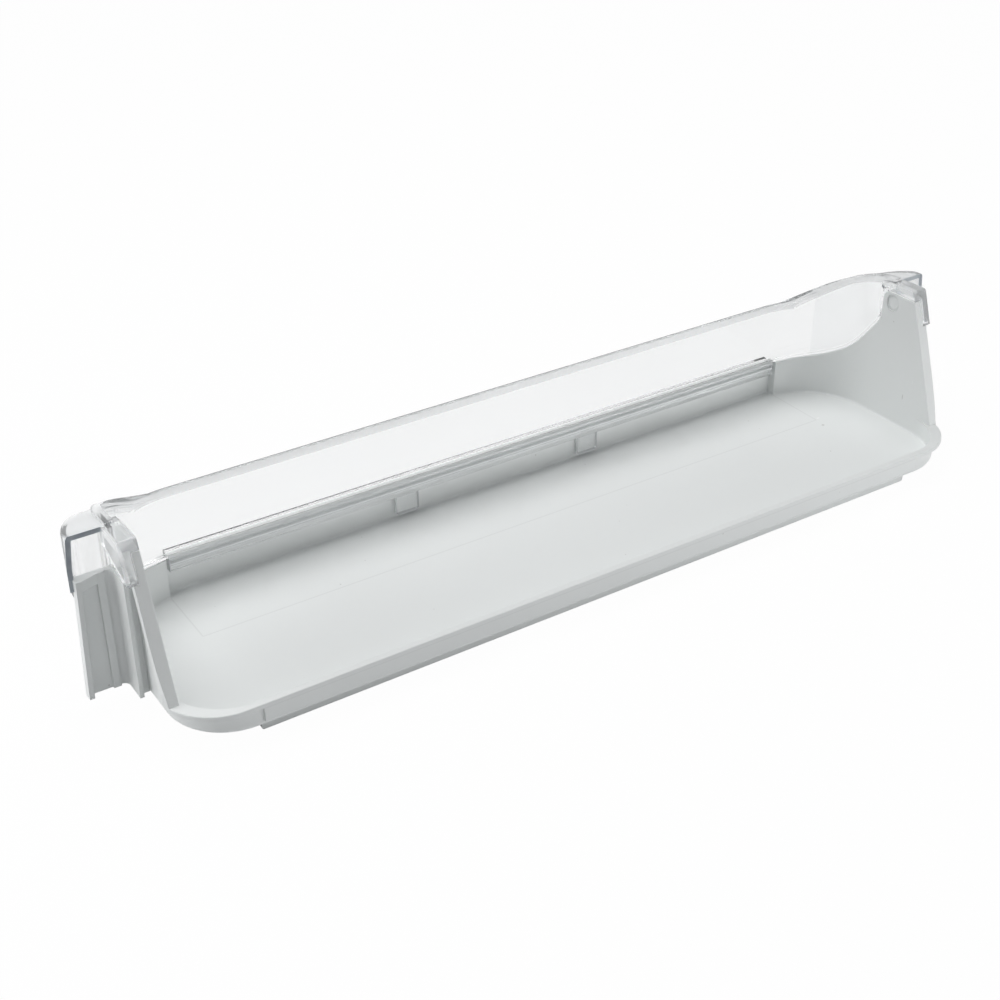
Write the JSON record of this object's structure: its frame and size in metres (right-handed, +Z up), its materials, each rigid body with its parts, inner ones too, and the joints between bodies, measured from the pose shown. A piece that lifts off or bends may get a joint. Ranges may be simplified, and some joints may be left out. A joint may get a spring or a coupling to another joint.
{
  "type": "fridge door shelf",
  "caption": "Shallow moulded shelf tray with high end walls and side mounting wings, with a clear clip-on guard along one side, for holding bottles and jars on a refrigerator door.",
  "frame": {"origin": "middle of the shelf's length and depth, at the lower edge of the rib that it stands on", "axes": "+X along the shelf, +Y from the door side to the guard side, +Z up"},
  "size_m": [0.4886, 0.1168, 0.0885],
  "materials": {
    "white_plastic": "satin",
    "clear_plastic": "clear, polished"
  },
  "bodies": {
    "root": {"shelf_tray": "white_plastic", "front_guard": "clear_plastic"}
  },
  "joints": []
}
